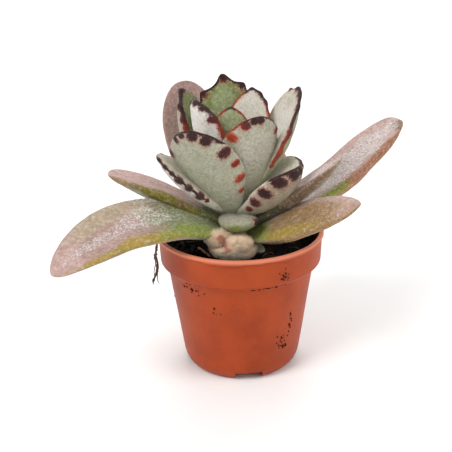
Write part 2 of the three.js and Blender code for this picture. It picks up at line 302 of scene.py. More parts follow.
def leafTeeth(leaf):  # centre, outward direction and radius of every spotted tooth
    plan, run = leafEdge(leaf)
    found = []
    for at, radius in leaf.get("spots", ()):
        side = 1 if at >= 0 else -1
        before, spot, after = (
            np.array([np.interp(abs(at) + step, run, plan[:, k]) for k in (0, 1)])
            for step in (-0.6, 0, 0.6)
        )
        way = (after - before) / np.linalg.norm(after - before)
        outward = np.array([way[1], -side * way[0]])
        middle = spot * (1, side) - outward * leaf.get("sink", 0.7) * radius
        place = middle[0] / leaf["length"]
        share = min(1, abs(middle[1]) / leafHalfWidth(leaf, np.array(place)))
        depth = 1.3 * leafHalfThickness(leaf, place) * math.sqrt(1 - share**2)  # on the outer face
        found.append((np.array([*middle, -depth]), outward, radius))
    return found


def washShare(t, angle, place, reach, wobble):  # 1 in the middle of a wash of colour, 0 outside it
    turn = (angle - place[1] + 180) % 360 - 180
    away = np.hypot((t - place[0]) / reach[0], turn / reach[1])
    return smooth(1.25, 0.6, away + 0.22 * wobble)


def leafSkin(leaf, seed):
    length = leaf["length"]
    steps = leaf.get("along", 120)
    around = leaf.get("around", 96)
    t = 1 - (1 - np.linspace(0, 1, steps + 1)[:-1]) ** 1.6
    t, turn = np.meshgrid(t, np.linspace(0, 2 * math.pi, around, endpoint=False), indexing="ij")
    centre, along, across, out = leafLine(leaf, t)
    side = np.cos(turn) * leafHalfWidth(leaf, t)
    up = np.sin(turn)
    face = up * leafHalfThickness(leaf, t) * np.where(up > 0, 0.7, 1.3)
    flat = np.stack([t * length, side, face], axis=-1)  # the leaf laid out straight, in its own plan
    full = leaf["width"] / 2
    lift = leaf["cup"] * (side / full) ** 2 * full * np.minimum(1, 2.5 * t)
    groove = leaf.get("groove", 0.5) * np.exp(-((side / full / 0.3) ** 2)) * np.sin(math.pi * t)
    lift = lift - groove * smooth(0, 0.5, up)

    # Distance to the edge all round, and how far that edge point is from the tip
    plan, run = leafEdge(leaf)
    edge = np.full(t.shape, 1e9)
    edgeRun = np.zeros(t.shape)
    for sign in (1, -1):
        line = np.stack([plan[:, 0], sign * plan[:, 1], 0 * run], axis=-1)[::2]
        for start in range(0, steps, 20):
            block = slice(start, start + 20)
            away = np.linalg.norm(flat[block, :, None] - line, axis=-1)
            nearest = away.argmin(axis=-1)
            value = np.take_along_axis(away, nearest[..., None], -1)[..., 0]
            closer = value < edge[block]
            edge[block] = np.where(closer, value, edge[block])
            edgeRun[block] = np.where(closer, sign * run[::2][nearest], edgeRun[block])

    # Teeth push the edge out and swell a little; the spot value is 1 at a spot's rim
    spot = np.full(t.shape, 9.0)
    push = np.zeros(t.shape + (2,))
    swell = np.zeros(t.shape)
    for middle, outward, radius in leafTeeth(leaf):
        away = np.linalg.norm(flat - middle, axis=-1) / radius
        spot = np.minimum(spot, away)
        bump = np.exp(-((away / 1.1) ** 2))
        push += leaf.get("tooth", 0.36) * radius * bump[..., None] * outward
        swell = np.maximum(swell, 0.13 * radius * bump)

    uneven = leaf.get("uneven", 0.22) * mottle(flat, 7, seed) + 0.06 * mottle(flat, 2.2, seed + 1)
    points = centre + across * side[..., None] + out * (face + lift)[..., None]
    points += along * push[..., :1] + across * push[..., 1:]
    outwards = across * np.cos(turn)[..., None] + out * up[..., None]
    points += outwards * (uneven + swell)[..., None]
    tip = centre[-1, 0] + along[-1, 0] * length * (1 - t[-1, 0])
    foot = centre[0, 0]
    angle = np.degrees(turn)
    return {"points": points, "ends": (foot, tip), "t": t, "angle": angle, "flat": flat, "edge": edge,
            "edgeRun": edgeRun, "spot": spot, "up": up}


def leafPaint(leaf, skin, seed):
    t, angle, flat = skin["t"], skin["angle"], skin["flat"]
    wobble = mottle(flat, 5, seed + 2) + 0.5 * mottle(flat, 1.6, seed + 3)
    share = smooth(-0.25, 0.25, skin["up"])[..., None]
    paint = np.array(tones[leaf["back"]]) * (1 - share) + np.array(tones[leaf["face"]]) * share
    for name, place, reach, amount in leaf.get("washes", ()):
        amount = amount * washShare(t, angle, place, reach, wobble)[..., None]
        paint = paint * (1 - amount) + np.array(tones[name]) * amount
    frost = np.zeros(t.shape)
    for place, reach, amount in leaf.get("frost", ()):
        frost = np.maximum(frost, amount * washShare(t, angle, place, reach, wobble))
    run = skin["edgeRun"]
    right = run > 0
    dark = np.where(right, *leaf.get("dark", (8, 8)))  # how far from the tip each edge stays dark
    warm = smooth(0.7, 1.7, np.abs(run) / dark)
    width, reach = (np.where(right, *pair) for pair in zip(*leaf.get("line", ((0, 1), (0, 1)))))
    width = width * smooth(1.15, 0.85, np.abs(run) / reach)
    rim = np.minimum(skin["edge"] / np.maximum(width, 0.02), 9)
    spot = skin["spot"] / leaf.get("mark", 1)
    return {"tint": paint, "frost": frost, "warm": warm, "rim": rim, "spot": spot}


def addPiece(name, points, faces, material, values=None, slot=None, stands=()):
    mesh = bpy.data.meshes.new(name)
    mesh.from_pydata(np.asarray(points).reshape(-1, 3).tolist(), [], faces)
    for key, value in (values or {}).items():
        value = np.asarray(value, dtype=np.float32)
        if value.ndim == 2:
            value = np.hstack([value, np.ones((len(value), 1), np.float32)])
            mesh.attributes.new(key, "FLOAT_COLOR", "POINT").data.foreach_set("color", value.ravel())
        else:
            mesh.attributes.new(key, "FLOAT", "POINT").data.foreach_set("value", value)
    mesh.materials.append(material)
    mesh.shade_smooth()
    mesh.validate()
    piece = bpy.data.objects.new(name, mesh)
    bpy.context.scene.collection.objects.link(piece)
    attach(piece, "root")
    if stands:
        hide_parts(*stands)
    return piece


def tubeFaces(rings, around):  # faces of stacked rings, then a point at each end
    faces = []
    for i in range(rings - 1):
        for j in range(around):
            k = (j + 1) % around
            faces.append((i * around + j, i * around + k, (i + 1) * around + k, (i + 1) * around + j))
    first, last = rings * around, rings * around + 1
    top = (rings - 1) * around
    faces += [(first, (j + 1) % around, j) for j in range(around)]
    faces += [(last, top + j, top + (j + 1) % around) for j in range(around)]
    return faces


def growLeaf(name, leaf, seed, material, slot):
    skin = leafSkin(leaf, seed)
    values = leafPaint(leaf, skin, seed)
    rings, around = skin["t"].shape
    points = np.vstack([skin["points"].reshape(-1, 3), *(end[None] for end in skin["ends"])]) * mm
    listed = {}
    for key, value in values.items():
        rows = value.reshape(rings * around, -1)
        ends = np.stack([value[0].reshape(around, -1).mean(0), value[-1].reshape(around, -1).mean(0)])
        rows = np.vstack([rows, ends])
        listed[key] = rows if rows.shape[1] == 3 else rows[:, 0]
    node = name.removesuffix("_skin")
    return addPiece(name, points, tubeFaces(rings, around), material, listed, slot, (node,))


def feltMaterial(name, grainSize, sheen):
    felt = Recipe(name)
    tint = felt.stored("tint", colour=True)
    frost, warm, rim, spot = (felt.stored(key) for key in ("frost", "warm", "rim", "spot"))
    fine = felt.grain(grainSize, 3, 0.7)
    tuft = felt.grain(grainSize * 2.8, 4, 0.75)
    blotch = felt.grain(0.0035, 3, 0.6)
    skin = felt.mix(blotch.between(0.45, 0.75) * 0.3, tint, tones["feltLow"], "MULTIPLY")
    skin = felt.mix(tuft.between(0.5, 0.68) * 0.32, skin, tones["white"])  # pale hair tips
    skin = felt.mix(tuft.between(0.5, 0.34) * 0.3, skin, tones["darkGreen"])  # green showing between them
    skin = felt.mix(fine.between(0.5, 0.7) * 0.22, skin, tones["white"])
    powder = felt.grain(0.0007, 4, 0.8)
    # the pale frosty hair coat; where a frost patch stands in for a glint streak, this is a painted highlight
    cover = ((powder - 0.5) * 4 + frost * 1.5 - 1.0).between(-0.25, 0.45)
    skin = felt.mix(cover * 0.8, skin, (0.76, 0.74, 0.73))
    # painted highlight: small pure white dots on the frosty coat stand in for glints of light
    paintedGlints = felt.cells(0.0013).between(0.2, 0.1) * powder.between(0.45, 0.6) * frost.between(0.3, 0.8)
    skin = felt.mix(paintedGlints, skin, (1.0, 1.0, 1.0))
    ragged = (fine - 0.5) * 0.6 + (tuft - 0.5) * 1.3
    mask = (spot + ragged).between(1.25, 0.8).sum("MAXIMUM", (rim + ragged).between(1.3, 0.6))
    stops = ((0.0, "#24090d"), (0.3, "#501317"), (0.6, "#7c1f10"), (1.0, "#a84822"))
    ramp = {"stops": [(place, tone(text)) for place, text in stops]}
    ring = (spot.sum("MINIMUM", rim) + ragged).between(0.45, 1.2) * 0.3
    mark = felt.make("ShaderNodeValToRGB", ramp, {0: warm * 0.72 + ring + (tuft - 0.5) * 0.4})
    halo = (spot + ragged).between(1.8, 1.0) * 0.4
    skin = felt.mix(halo, skin, tone("#a5665a"))
    hair = (tuft + fine - 1.0).between(0.08, 0.4) * 0.3  # pale hairs over the marks
    felt.set("Base Color", felt.mix(mask * (0.97 - hair), skin, mark))
    felt.set("Roughness", 0.82)
    felt.set("Specular IOR Level", 0.25)
    felt.set("Sheen Weight", sheen)
    felt.set("Sheen Roughness", 0.45)
    felt.set("Normal", felt.bump(fine + tuft + cover * powder * 1.2, 0.55, 0.0003))
    return felt.material


oldLeaf = {"thick": 5.5, "cup": 0.12, "belly": 0.62, "neck": 0.42, "blunt": 0.46, "back": "grey"}
youngLeaf = {"thick": 4.6, "cup": 0.3, "belly": 0.6, "neck": 0.4, "blunt": 0.5, "groove": 0.3,
             "back": "felt", "face": "cream"}
shortLeaf = {"cup": 0, "belly": 0.5, "neck": 0.85, "blunt": 0.5, "bend": 0, "sway": 0, "roll": 0}

# Every leaf from the oldest to the youngest. heading: 0 right, 90 back; rise and bend: slope at the foot
# and its change to the tip. Round a leaf, 0 is its right edge seen from outside, 90 the middle of its upper
# face, 180 its left edge. washes: tone, (share of length, turn), reach of both, amount. frost and glint
# patches: the same without a tone; they paint the pale frosty hair coat, and the white glints drawn on it are
# painted highlights. spots: run from the tip along the edge (minus on the left edge), and radius. line: width
# and run of the coloured edge, right then left. dark: how far from the tip the edge stays dark, right then
# left.
leaves = {
    "leaf_low_left": {
        **oldLeaf, "heading": 212, "height": 3.7, "rise": 35, "bend": -67.5, "sway": -1, "roll": -13.5,
        "length": 68, "width": 23.5, "thick": 5.7, "cup": 0.21, "belly": 0.54, "neck": 0.58, "blunt": 0.58,
        "face": "mauve", "along": 190, "around": 128,
        "washes": (
            ("green", (0.22, 80), (0.3, 110), 0.9), ("tan", (0.66, 136), (0.24, 34), 0.95),
            ("yellow", (0.6, 14), (0.44, 36), 0.95), ("lime", (0.24, 24), (0.24, 44), 0.95),
            ("moss", (0.04, 70), (0.12, 120), 0.9), ("pink", (0.97, 90), (0.14, 120), 0.7),
        ),
        "frost": (
            ((0.3, 118), (0.2, 50), 0.55), ((0.5, 98), (0.2, 34), 0.66), ((0.76, 84), (0.26, 17), 0.62),
            ((0.44, 160), (0.1, 26), 0.7),
        ),
    },
    "leaf_low_right": {
        **oldLeaf, "heading": 33, "height": 4.6, "rise": 4, "bend": 42.5, "sway": -10.5, "roll": -3.5,
        "length": 69.5, "width": 21, "thick": 6.4, "cup": 0.25, "belly": 0.7, "blunt": 0.32,
        "face": "pink", "along": 190, "around": 128,
        "washes": (
            ("rust", (0.7, 188), (0.32, 60), 0.95), ("lime", (0.4, 176), (0.13, 50), 1.0),
            ("brown", (0.98, 150), (0.05, 60), 0.8), ("moss", (0.1, 120), (0.2, 120), 0.8),
        ),
        "frost": (((0.62, 88), (0.45, 58), 0.75),),
    },
    "leaf_low_back": {
        **oldLeaf, "heading": 106, "height": 7, "rise": 14, "bend": -12, "sway": 0, "roll": 0,
        "length": 35.5, "width": 18,
        "face": "mauve",
        "washes": (("moss", (0.15, 90), (0.2, 120), 0.8), ("yellow", (0.6, 0), (0.4, 24), 0.8),
                   ("yellow", (0.6, 180), (0.4, 24), 0.8)),
        "frost": (((0.6, 90), (0.35, 60), 0.8),),
    },
    "leaf_front_right": {
        **oldLeaf, "heading": 324, "height": 3.8, "rise": 24, "bend": 1, "sway": 2, "roll": 25,
        "length": 47, "width": 17.5, "thick": 5.8, "cup": 0.06, "belly": 0.48, "neck": 0.34, "blunt": 0.7,
        "face": "pink", "back": "sand", "along": 170, "around": 128,
        "washes": (
            ("sand", (0.5, 130), (0.48, 92), 0.95), ("yellow", (0.46, 142), (0.22, 26), 0.95),
            ("lime", (0.1, 130), (0.2, 110), 0.9), ("feltLow", (0.12, 200), (0.3, 50), 0.4),
            ("ash", (0.65, 8), (0.5, 22), 0.7),
        ),
    },
    "leaf_side_left": {
        **oldLeaf, "heading": 178, "height": 7, "rise": 29.5, "bend": -10, "sway": 1, "roll": 6,
        "length": 44, "width": 17, "thick": 5.6, "belly": 0.65, "blunt": 0.26,
        "face": "pink", "back": "grey", "along": 160, "around": 128,
        "washes": (
            ("olive", (0.5, 2), (0.4, 42), 1.0), ("sand", (0.9, 0), (0.16, 34), 0.8),
            ("moss", (0.12, 30), (0.2, 110), 0.9), ("brown", (0.42, 0), (0.05, 16), 0.9),
        ),
        # this frost patch is a painted highlight: a white glint streak on the upper face
        "frost": (((0.36, 70), (0.12, 45), 0.6),),
    },
    "leaf_side_right": {
        **oldLeaf, "heading": 352, "height": 8, "rise": 28, "bend": 16, "sway": 0, "roll": -4, "length": 39,
        "width": 17, "thick": 4.8,
        "face": "pink", "back": "grey", "along": 150, "around": 128,
        "washes": (
            ("brown", (0.65, 196), (0.4, 50), 0.9), ("darkGreen", (0.12, 200), (0.4, 110), 0.9),
        ),
        "frost": (((0.7, 95), (0.36, 50), 0.7),),
    },
    "leaf_side_back": {
        **oldLeaf, "heading": 70, "height": 9, "rise": 16, "bend": 8, "sway": 0, "roll": 0,
        "length": 38, "width": 17, "face": "mauve",
        "washes": (("moss", (0.15, 90), (0.2, 120), 0.8), ("olive", (0.6, 0), (0.4, 20), 0.8),
                   ("olive", (0.6, 180), (0.4, 20), 0.8)),
        "frost": (((0.6, 90), (0.35, 60), 0.7),),
    },
    "leaf_back_left": {
        **oldLeaf, "heading": 127, "height": 9, "rise": 30, "bend": 52, "sway": 0, "roll": -6,
        "length": 51, "width": 22.5, "face": "mauve", "back": "mauve",
        "washes": (("brown", (0.25, 90), (0.2, 110), 0.7), ("ash", (0.44, 95), (0.18, 90), 0.9)),
    },
    "leaf_rosette_low_left": {
        **youngLeaf, "heading": 206, "height": 13.2, "rise": 35, "bend": 10.5, "sway": 6, "roll": -24,
        "length": 34, "width": 13, "thick": 5, "cup": 0.13, "blunt": 0.52,
        "along": 150, "around": 112, "sink": -0.1,
        "washes": (("tan", (0.35, 90), (0.3, 60), 0.4), ("feltLow", (0.1, 270), (0.3, 90), 0.5)),
        "frost": (((0.6, 290), (0.4, 60), 0.5),),
        "spots": ((1.5, 1.25), (4.7, 1.15), (7.6, 1.0), (10.7, 1.7), (15, 1.55),
                  (20.1, 1.75), (23.4, 0.8), (-5, 0.8), (-10, 0.8)),
        "line": ((0.45, 23), (0.3, 12)), "dark": (22, 12),
        "face": "cream",
        "back": "white",
    },
    "leaf_rosette_low_right": {
        **youngLeaf, "heading": 332, "height": 13.3, "rise": 25, "bend": 28.5, "sway": 11, "roll": 5.5,
        "length": 27, "width": 19.5, "thick": 7.2, "cup": 0.5, "belly": 0.68, "neck": 0.48, "blunt": 0.38,
        "along": 150, "around": 128,
        "washes": (
            ("tan", (0.6, 250), (0.35, 70), 0.75), ("feltLow", (0.05, 250), (0.25, 110), 0.6),
            ("cream", (0.8, 178), (0.2, 8), 0.9),
        ),
        "spots": ((-2.6, 1.6), (-5.9, 2.1), (-11.4, 2.15), (-17.6, 1.85), (-22.9, 1.5), (-26.6, 1.15),
                  (1.2, 1.1), (4, 0.8), (9, 0.6)),
        "line": ((0.9, 7), (0.8, 13)), "dark": (20, 24), "sink": 0.4,
    },
    "leaf_rosette_low_back": {
        **youngLeaf, "heading": 84, "height": 13, "rise": 38, "bend": 20, "sway": 0, "roll": 0,
        "length": 29, "width": 16,
        "spots": ((0, 1.1), (5, 1.1), (10, 1.1), (15, 1.0), (-5, 1.1), (-10, 1.1), (-15, 1.0)),
        "line": ((0.4, 18), (0.4, 18)), "dark": (10, 10),
    },
    "leaf_rosette_front_left": {
        **youngLeaf, "heading": 228, "height": 11.5, "rise": 51.5, "bend": 9.5, "sway": 11.5, "roll": 12,
        "length": 40, "width": 22.4, "thick": 5.5, "cup": 0.31, "belly": 0.58, "neck": 0.27, "blunt": 0.61,
        "along": 170, "around": 144,
        "washes": (("feltLow", (0.1, 270), (0.3, 90), 0.35), ("paleGreen", (0.45, 250), (0.25, 30), 0.3)),
        "spots": ((-14.9, 1.5), (-6, 1.25), (-2.7, 1.1), (1.7, 1.75), (6.4, 1.75), (14.4, 1.9), (20.9, 1.25),
                  (27.2, 1.5), (32.6, 1.0)),
        "line": ((1.0, 12), (0.9, 8)), "dark": (15, 30),
    },
    "leaf_rosette_front_right": {
        **youngLeaf, "heading": 295, "height": 14, "rise": 66, "bend": 4, "sway": 18, "roll": -13,
        "length": 35.5, "width": 20, "along": 160, "around": 128,
        "washes": (
            ("ash", (0.6, 270), (0.35, 50), 0.35), ("feltLow", (0.08, 270), (0.2, 90), 0.4),
            ("paleGreen", (0.4, 290), (0.25, 30), 0.2),
        ),
        "spots": ((-11.8, 1.55), (-5.8, 1.45), (-2.6, 1.2), (-0.2, 1.4), (10, 1.3), (17.4, 1.1), (24.1, 0.8)),
        "line": ((0.7, 26), (0.7, 14)), "dark": (8, 5),
    },
    "leaf_rosette_left": {
        **youngLeaf, "heading": 157, "height": 17.8, "rise": 46, "bend": 36.5, "sway": 2.5, "roll": 0.5,
        "length": 37.2, "width": 17, "thick": 6.6,
        "face": "green", "along": 150, "around": 112, "sink": 0.1,
        "washes": (("paleGreen", (0.5, 90), (0.3, 40), 0.4),),
        "spots": ((0.9, 1.6), (7.3, 1.4), (11.8, 1.25), (14.6, 1.0), (19, 0.8), (-5, 0.7), (-11, 0.7)),
        "line": ((1.1, 20), (0.6, 14)), "dark": (11, 1.5),
        "tooth": 0.7,
    },
    "leaf_rosette_right": {
        **youngLeaf, "heading": 3.5, "height": 17.2, "rise": 48, "bend": 27.5, "sway": -1, "roll": 15,
        "length": 39.5, "width": 17.3, "cup": 0.25, "belly": 0.69, "blunt": 0.48,
        "back": "paleGreen", "along": 160, "around": 112, "sink": -0.25,
        "washes": (("white", (0.6, 90), (0.5, 60), 0.5),),
        "spots": ((-0.6, 1.7), (-3.4, 2.0), (-7.9, 1.8), (-16, 1.6), (-18, 1.2), (-23.2, 1.4), (-28, 0.9),
                  (4, 0.9)),
        "line": ((0.5, 8), (1.0, 28)), "dark": (4, 13),
        "tooth": 0.75,
    },
    "leaf_rosette_back": {
        **youngLeaf, "heading": 102, "height": 19, "rise": 68, "bend": 5, "sway": 0, "roll": -4,
        "length": 36, "width": 21, "blunt": 0.75, "face": "green", "along": 150, "around": 128, "sink": 0.05,
        "washes": (("paleGreen", (0.75, 80), (0.18, 30), 0.6), ("moss", (0.45, 90), (0.2, 60), 0.4)),
        "spots": ((0.2, 1.9), (8.6, 1.7), (-6, 1.8), (15, 1.3), (-13, 1.3)),
        "line": ((1.0, 20), (1.0, 20)), "dark": (40, 40), "tooth": 0.85,
    },
    "leaf_inner_left": {
        **youngLeaf, "heading": 209, "height": 23.2, "rise": 57.5, "bend": 18.5, "sway": 0.5, "roll": 7,
        "length": 30, "width": 13.5, "thick": 5, "cup": 0.37, "belly": 0.68, "blunt": 0.52,
        "back": "white", "along": 140, "around": 112,
        "spots": ((-2, 1.0), (0.6, 1.2), (4, 1.1), (8.7, 1.3), (-6, 0.7)),
        "line": ((1.35, 24), (0.5, 10)), "dark": (8, 4), "sink": 0.4,
    },
    "leaf_inner_right": {
        **youngLeaf, "heading": 46, "height": 22, "rise": 62, "bend": 21, "sway": 9.5, "roll": 21,
        "length": 30.5, "width": 14.5, "belly": 0.58, "blunt": 0.67,
        "along": 140, "around": 112, "sink": 0.2,
        "frost": (((0.75, 90), (0.35, 60), 0.65),),
        "spots": ((0.6, 1.0), (-3, 1.15), (-6.3, 1.2), (-10.5, 0.9)),
        "line": ((1.0, 22), (1.1, 18)), "dark": (2.5, 6),
    },
    "leaf_heart": {
        **youngLeaf, "heading": 270, "height": 27, "rise": 70, "bend": 15, "sway": 0, "roll": 0,
        "length": 22, "width": 12, "thick": 3, "blunt": 0.7, "back": "paleGreen",
        "line": ((0.9, 18), (0.9, 18)), "dark": (1.5, 1.5),
    },
    "leaf_bud": {
        **youngLeaf, "heading": 85, "height": 28, "rise": 74, "bend": 20, "sway": 0, "roll": 0,
        "length": 16, "width": 9.5, "thick": 2.6, "blunt": 0.7,
        "line": ((0.35, 12), (0.35, 12)), "dark": (2, 2),
    },
    "leaf_stub": {
        **shortLeaf, "heading": 272, "height": 11, "rise": 8, "length": 14, "width": 12.5, "thick": 5.5,
        "face": "grey", "back": "paleGreen",
        "washes": (("felt", (0.9, 60), (0.5, 80), 0.6), ("lime", (0.97, 252), (0.3, 46), 0.85)),
        "spots": ((7.4, 1.5), (9.2, 1.2)), "dark": (30, 30), "sink": -0.1,
    },
    "leaf_sprout": {
        **shortLeaf, "heading": 309, "height": 1.6, "rise": -3, "length": 10, "width": 5.4, "thick": 3.4,
        "face": "feltLow", "back": "moss", "along": 60, "around": 64,
    },
}


pot = {
    "lipHeight": 1.1, "lipWidth": 0.5,
    "bandHeight": 9.6, "bandTaper": 0.5,
    "stepIn": 2.4, "stepHeight": 1.8,
    "bodyTaper": 4.5,
    "heelHeight": 5.8, "heelIn": 3.3,
    "footWidth": 3.2, "wall": 0.9, "baseLift": 3.4,
    "notches": 4, "notchWidth": 9, "notchHeight": 3.1, "notchCorner": 0.9, "notchTurn": -83,
    "drain": 4.4, "drainEdge": 1.2,
    "around": 256,
    "flash": 0.9,  # how far the ragged moulding edge hangs under the lip
    "shade": "#a64219", "deep": "#953916", "worn": "#b9592e",
}
rim = rimRadius / mm
bandTop = rim - pot["lipWidth"]
bandFoot = bandTop - pot["bandTaper"]
bandLow = potHeight / mm - pot["bandHeight"]
bodyTop = bandFoot - pot["stepIn"]
bodyHigh = bandLow - pot["stepHeight"]
heelRadius = bodyTop - pot["bodyTaper"]
footRadius = heelRadius - pot["heelIn"]
footInner = footRadius - pot["footWidth"]
baseTop = pot["baseLift"] + pot["wall"]


def softened(corners, steps=5):  # an outline of (radius, height, rounding) corners with the corners rounded
    line = []
    for index, (r, z, rounding) in enumerate(corners):
        here = np.array([r, z])
        if rounding == 0 or index in (0, len(corners) - 1):
            line.append(here)
            continue
        before, after = np.array(corners[index - 1][:2]), np.array(corners[index + 1][:2])
        starts = []
        for other in (before, after):
            away = np.linalg.norm(other - here)
            starts.append(here + (other - here) * min(rounding / away, 0.45))
        for share in np.linspace(0, 1, steps):
            line.append(starts[0] * (1 - share) ** 2 + here * 2 * share * (1 - share) + starts[1] * share**2)
    return np.array(line)


def heel(inward):  # the curve from the foot up to where the wall starts, inward by a wall or nothing
    share = np.linspace(0, 1, 9)[1:-1]
    bow = (heelRadius - pot["wall"] / 2, pot["heelHeight"] / 4)
    r = footRadius * (1 - share) ** 2 + bow[0] * 2 * share * (1 - share) + heelRadius * share**2
    z = bow[1] * 2 * share * (1 - share) + pot["heelHeight"] * share**2
    return [(a - inward, b, 0) for a, b in zip(r, z)]


def potOutline():
    high = potHeight / mm
    lipLow = high - pot["lipHeight"]
    wall = pot["wall"]
    return softened([
        (0, pot["baseLift"], 0), (footInner, pot["baseLift"], 0.4), (footInner, 0, 0.4), (footRadius, 0, 0.5),
        *heel(0), (heelRadius, pot["heelHeight"], 0.8), (bodyTop, bodyHigh, 0.7), (bandFoot, bandLow, 0.35),
        (bandTop, lipLow, 0.15), (rim, lipLow, 0.25), (rim, high, 0.45), (bandTop - wall, high, 0.4),
        (bandFoot - wall, bandLow, 0.6), (bodyTop - wall, bodyHigh, 0.6),
        (heelRadius - wall, pot["heelHeight"], 1.2), (footRadius, baseTop, 0.8), (0, baseTop, 0),
    ])


def turned(line, around):  # points of a turned outline that starts and ends on the axis, and its faces
    angles = np.linspace(0, 2 * math.pi, around, endpoint=False)
    rings = line[1:-1]
    points = np.stack([
        rings[:, :1] * np.cos(angles), rings[:, :1] * np.sin(angles), np.repeat(rings[:, 1:], around, axis=1),
    ], axis=-1).reshape(-1, 3)
    ends = [(0, 0, line[0, 1]), (0, 0, line[-1, 1])]
    return np.vstack([points, ends]), tubeFaces(len(rings), around)


def raggedEdge(angles, seed):  # drips of moulding flash round the lip, 0 to 1
    draw = np.random.default_rng(seed)
    total = np.zeros_like(angles)
    for _ in range(60):
        middle, width = draw.uniform(-math.pi, math.pi), draw.uniform(0.03, 0.12)
        away = (angles - middle + math.pi) % (2 * math.pi) - math.pi
        total = np.maximum(total, draw.uniform(0.2, 1) * np.exp(-((away / width) ** 4)))
    return total


def cutterMesh():
    form = bmesh.new()
    half, top, corner = pot["notchWidth"] / 2, pot["notchHeight"], pot["notchCorner"]
    arch = softened([(-half, -top, 0), (-half, top, corner), (half, top, corner), (half, -top, 0)])
    holeAt = footInner - pot["drainEdge"] - pot["drain"] / 2
    for index in range(pot["notches"]):
        turn = math.radians(pot["notchTurn"] + 360 / pot["notches"] * index)
        out, aside = np.array([math.cos(turn), math.sin(turn)]), np.array([-math.sin(turn), math.cos(turn)])
        near, far = (
            [form.verts.new((*((reach * out + x * aside) * mm), z * mm)) for x, z in arch]
            for reach in (footInner - 1, heelRadius + 1)
        )
        form.faces.new(near)
        form.faces.new(reversed(far))
        for i in range(len(arch)):
            k = (i + 1) % len(arch)
            form.faces.new((near[k], near[i], far[i], far[k]))
        low, high = (
            [form.verts.new((holeAt * out[0] * mm + pot["drain"] / 2 * mm * math.cos(a),
                             holeAt * out[1] * mm + pot["drain"] / 2 * mm * math.sin(a), z * mm))
             for a in np.linspace(0, 2 * math.pi, 32, endpoint=False)]
            for z in (pot["baseLift"] - 1, baseTop + 1)
        )
        form.faces.new(reversed(low))
        form.faces.new(high)
        for i in range(32):
            form.faces.new((low[i], low[(i + 1) % 32], high[(i + 1) % 32], high[i]))
    bmesh.ops.recalc_face_normals(form, faces=form.faces)
    mesh = bpy.data.meshes.new("potCutter")
    form.to_mesh(mesh)
    form.free()
    return mesh


def mouldPot(material):
    line = potOutline()
    fine = [line[0]]
    for a, b in zip(line[:-1], line[1:]):  # long straight stretches get rings of their own
        count = max(1, int(np.linalg.norm(b - a) / 2.2))
        fine += [a + (b - a) * (k + 1) / count for k in range(count)]
    points, faces = turned(np.array(fine), pot["around"])
    angles = np.arctan2(points[:, 1], points[:, 0])
    radius = np.hypot(points[:, 0], points[:, 1])
    lipLow = potHeight / mm - pot["lipHeight"]
    under = np.exp(-(((points[:, 2] - lipLow) / 0.25) ** 2)) * smooth(bandTop + 0.05, bandTop + 0.35, radius)
    points[:, 2] -= pot["flash"] * raggedEdge(angles, 5) * under
    push = 0.12 * mottle(points, 16, 6) * smooth(3, 12, points[:, 2])
    points[:, :2] *= (1 + push / np.maximum(radius, 1))[:, None]
    blank = addPiece("pot_shell", points * mm, faces, material, {}, "pot", ("pot",))
    cutter = bpy.data.objects.new("potCutter", cutterMesh())
    bpy.context.scene.collection.objects.link(cutter)
    cut = blank.modifiers.new("notches", "BOOLEAN")
    cut.object = cutter
    cut.solver = "EXACT"
    bpy.context.view_layer.update()
    ready = blank.evaluated_get(bpy.context.evaluated_depsgraph_get())
    mesh = bpy.data.meshes.new_from_object(ready)
    blank.modifiers.clear()
    blank.data = mesh
    bpy.data.objects.remove(cutter)
    mesh.set_sharp_from_angle(angle=math.radians(40))
    print("pot:", len(mesh.polygons), "faces")
    return blank


def potMaterial():
    plastic = Recipe("mouldedTerracotta")
    place = plastic.place()
    cloud = plastic.grain(0.014, 3, 0.6, at=place)
    fine = plastic.grain(0.0012, 4, 0.7, at=place)
    axes = plastic.make("ShaderNodeSeparateXYZ", {}, {0: place}, out="Z")
    colour = plastic.mix(cloud.between(0.35, 0.7), tone(pot["shade"]), tone(pot["deep"]))
    colour = plastic.mix(fine.between(0.55, 0.8) * 0.35, colour, tone(pot["worn"]))
    # painted highlight: the top of the lip is lightened, as if catching the light
    lip = axes.between(potHeight - 1.6 * mm, potHeight - 0.4 * mm)
    colour = plastic.mix(lip * 0.75, colour, tone("#dd8a6c"))
    silt = plastic.grain(0.0007, 5, 0.85, at=place)
    low = axes.between(0.018, 0.002)
    colour = plastic.mix((silt + low * 0.12).between(0.66, 0.78) * 0.6, colour, tone("#4a2a1c"))
    plastic.set("Base Color", colour)
    plastic.set("Roughness", fine * 0.2 + 0.36)
    plastic.set("Specular IOR Level", 0.2)
    plastic.set("Normal", plastic.bump(fine + cloud * 3, 0.25, 0.0001))
    return plastic.material


soil = {"lump": 0.55, "gap": 0.3, "crumbs": 2200, "fibres": 26, "shade": "#17110f",
        "brown": "#3a271c", "pale": "#4f4032"}


def soilHeight(x, y):
    waves = np.sin(x * 0.61 + 1.3) * np.cos(y * 0.53) + 0.6 * np.sin(x * 1.27 - y * 0.94)
    return soilTop / mm + soil["lump"] * waves / 1.6


def soilMaterial():
    peat = Recipe("dampPeat")
    fine = peat.grain(0.0005, 5, 0.8)
    lumps = peat.grain(0.0022, 4, 0.7)
    colour = peat.mix(lumps.between(0.5, 0.72) * 0.7, tone(soil["shade"]), tone(soil["brown"]))
    colour = peat.mix(fine.between(0.66, 0.74) * 0.4, colour, tone(soil["pale"]))
    peat.set("Base Color", colour)
    peat.set("Roughness", 0.92)
    peat.set("Specular IOR Level", 0.2)
    peat.set("Normal", peat.bump(fine + lumps * 2, 0.8, 0.0006))
    return peat.material


